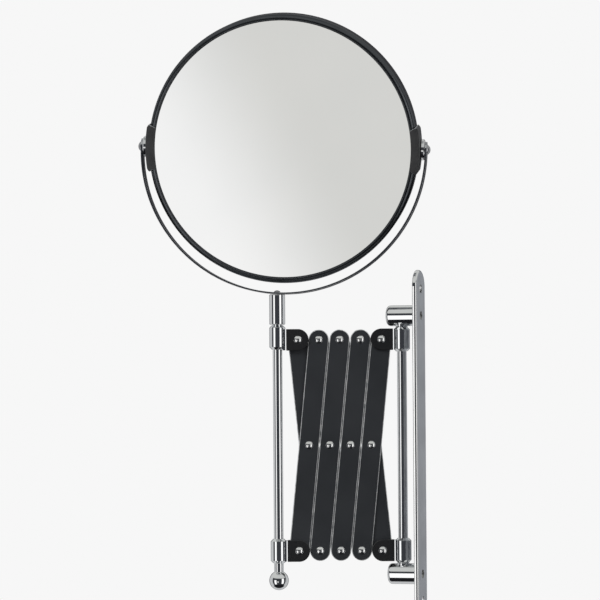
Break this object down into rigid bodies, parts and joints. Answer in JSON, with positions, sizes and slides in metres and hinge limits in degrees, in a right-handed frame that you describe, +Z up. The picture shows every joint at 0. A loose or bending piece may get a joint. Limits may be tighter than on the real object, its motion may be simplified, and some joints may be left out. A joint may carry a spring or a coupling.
{
  "type": "extendable shaving mirror",
  "caption": "Wall-mounted round double-sided shaving mirror in a yoke, carried by a folding scissor arm that swings on a wall rod and extends.",
  "frame": {"origin": "middle of the wall plate's back face, on the wall", "axes": "+Z up, -Y out of the wall, +X to the right when facing the wall"},
  "size_m": [0.0634, 0.1828, 0.3846],
  "materials": {
    "plate_steel": "brushed, polished edge",
    "fitting_chrome": "polished",
    "rod_chrome": "polished",
    "sleeve_chrome": "polished",
    "cup_chrome": "polished",
    "yoke_chrome": "polished",
    "rim_chrome": "polished, dark",
    "rivet_chrome": "polished",
    "dark_steel": "polished, dark",
    "screw_steel": "zinc plated",
    "clevis_black": "satin black",
    "bar_black": "satin lacquer with bare bright edges",
    "spacer_nylon": "moulded",
    "clip_plastic": "moulded, fine grain",
    "mirror_glass": "silvered glass",
    "core_card": "plain board"
  },
  "bodies": {
    "wall_bracket": {"wall_plate": "plate_steel", "boss_upper": "fitting_chrome", "boss_lower": "fitting_chrome", "boss_screw_upper": "screw_steel", "boss_screw_lower": "screw_steel", "wall_rod": "rod_chrome", "collar_upper": "fitting_chrome", "collar_lower": "fitting_chrome"},
    "wall_sleeve_lower": {"sleeve_wall_lower": "sleeve_chrome", "clevis_wall_lower": "clevis_black", "end_pin_wall_lower": "rivet_chrome", "spacer_wall_lower": "spacer_nylon"},
    "bar_back_1": {"bar_back_1": "bar_black"},
    "bar_front_1": {"bar_front_1": "bar_black", "rivet_middle_1": "rivet_chrome", "rivet_lower_1": "rivet_chrome"},
    "bar_back_2": {"bar_back_2": "bar_black"},
    "bar_front_2": {"bar_front_2": "bar_black", "rivet_middle_2": "rivet_chrome", "rivet_lower_2": "rivet_chrome", "rivet_upper_1": "rivet_chrome"},
    "bar_back_3": {"bar_back_3": "bar_black"},
    "bar_front_3": {"bar_front_3": "bar_black", "rivet_middle_3": "rivet_chrome", "rivet_lower_3": "rivet_chrome", "rivet_upper_2": "rivet_chrome"},
    "bar_back_4": {"bar_back_4": "bar_black"},
    "bar_front_4": {"bar_front_4": "bar_black", "rivet_middle_4": "rivet_chrome", "rivet_upper_3": "rivet_chrome"},
    "wall_sleeve_upper": {"sleeve_wall_upper": "sleeve_chrome", "clevis_wall_upper": "clevis_black", "end_pin_wall_upper": "rivet_chrome", "spacer_wall_upper": "spacer_nylon"},
    "mirror_sleeve_lower": {"sleeve_mirror_lower": "sleeve_chrome", "clevis_mirror_lower": "clevis_black", "end_pin_mirror_lower": "rivet_chrome", "spacer_mirror_lower": "spacer_nylon"},
    "mirror_sleeve_upper": {"sleeve_mirror_upper": "sleeve_chrome", "clevis_mirror_upper": "clevis_black", "end_pin_mirror_upper": "rivet_chrome", "spacer_mirror_upper": "spacer_nylon"},
    "mirror_post": {"mirror_rod": "rod_chrome", "ball_finial": "fitting_chrome", "ferrule": "fitting_chrome", "yoke": "yoke_chrome", "yoke_rivet": "dark_steel"},
    "mirror_head": {"rim": "rim_chrome", "glass_plain": "mirror_glass", "glass_magnifying": "mirror_glass", "core_board": "core_card", "clip_left": "clip_plastic", "clip_right": "clip_plastic", "cup_left": "cup_chrome", "cup_right": "cup_chrome", "pivot_screw_left": "dark_steel", "pivot_screw_right": "dark_steel", "nut_block_left": "screw_steel", "nut_block_right": "screw_steel"}
  },
  "joints": [
    {"name": "wall_swivel", "type": "hinge", "parent": "wall_bracket", "child": "wall_sleeve_lower", "pos_m": [0, -0.0128, 0], "axis": [0, 0, 1], "range_deg": [-107.5, 72.5]},
    {"name": "extend", "type": "hinge", "parent": "wall_sleeve_lower", "child": "bar_back_1", "pos_m": [0.00391, -0.0252, -0.0668], "axis": [0.9537, 0.3007, 0], "range_deg": [0, 54]},
    {"name": "cross_1", "type": "hinge", "parent": "bar_back_1", "child": "bar_front_1", "pos_m": [0.00589, -0.03149, 0], "axis": [0.9537, 0.3007, 0], "range_deg": [-108.5, 0]},
    {"name": "wall_clevis_upper", "type": "hinge", "parent": "bar_front_1", "child": "wall_sleeve_upper", "pos_m": [0.00391, -0.0252, 0.0668], "axis": [0.9537, 0.3007, 0], "range_deg": [0, 54.5]},
    {"name": "upper_1", "type": "hinge", "parent": "bar_back_1", "child": "bar_front_2", "pos_m": [0.00788, -0.03779, 0.0668], "axis": [0.9537, 0.3007, 0], "range_deg": [-108.5, 0]},
    {"name": "cross_2", "type": "hinge", "parent": "bar_front_2", "child": "bar_back_2", "pos_m": [0.00986, -0.04408, 0], "axis": [0.9537, 0.3007, 0], "range_deg": [0, 108.5]},
    {"name": "lower_2", "type": "hinge", "parent": "bar_front_2", "child": "bar_back_3", "pos_m": [0.01185, -0.05038, -0.0668], "axis": [0.9537, 0.3007, 0], "range_deg": [0, 108.5]},
    {"name": "cross_3", "type": "hinge", "parent": "bar_back_3", "child": "bar_front_3", "pos_m": [0.01383, -0.05667, 0], "axis": [0.9537, 0.3007, 0], "range_deg": [-108.5, 0]},
    {"name": "upper_3", "type": "hinge", "parent": "bar_back_3", "child": "bar_front_4", "pos_m": [0.01582, -0.06297, 0.0668], "axis": [0.9537, 0.3007, 0], "range_deg": [-108.5, 0]},
    {"name": "cross_4", "type": "hinge", "parent": "bar_front_4", "child": "bar_back_4", "pos_m": [0.0178, -0.06926, 0], "axis": [0.9537, 0.3007, 0], "range_deg": [0, 108.5]},
    {"name": "mirror_clevis_lower", "type": "hinge", "parent": "bar_front_4", "child": "mirror_sleeve_lower", "pos_m": [0.01979, -0.07555, -0.0668], "axis": [0.9537, 0.3007, 0], "range_deg": [0, 54.5]},
    {"name": "mirror_clevis_upper", "type": "hinge", "parent": "bar_back_4", "child": "mirror_sleeve_upper", "pos_m": [0.01979, -0.07555, 0.0668], "axis": [0.9537, 0.3007, 0], "range_deg": [-54.5, 0]},
    {"name": "mirror_swivel", "type": "hinge", "parent": "mirror_sleeve_lower", "child": "mirror_post", "pos_m": [0.0237, -0.08795, 0], "axis": [0, 0, 1], "continuous": true},
    {"name": "mirror_tilt", "type": "hinge", "parent": "mirror_post", "child": "mirror_head", "pos_m": [0.02271, -0.08311, 0.18855], "axis": [-0.1993, 0.9796, -0.0262], "continuous": true}
  ],
  "couplings": [
    {"joint": "cross_1", "follows": "extend", "ratio": -2},
    {"joint": "wall_clevis_upper", "follows": "extend", "ratio": 1},
    {"joint": "upper_1", "follows": "extend", "ratio": -2},
    {"joint": "cross_2", "follows": "extend", "ratio": 2},
    {"joint": "lower_2", "follows": "extend", "ratio": 2},
    {"joint": "cross_3", "follows": "extend", "ratio": -2},
    {"joint": "upper_3", "follows": "extend", "ratio": -2},
    {"joint": "cross_4", "follows": "extend", "ratio": 2},
    {"joint": "mirror_clevis_lower", "follows": "extend", "ratio": 1},
    {"joint": "mirror_clevis_upper", "follows": "extend", "ratio": -1}
  ]
}
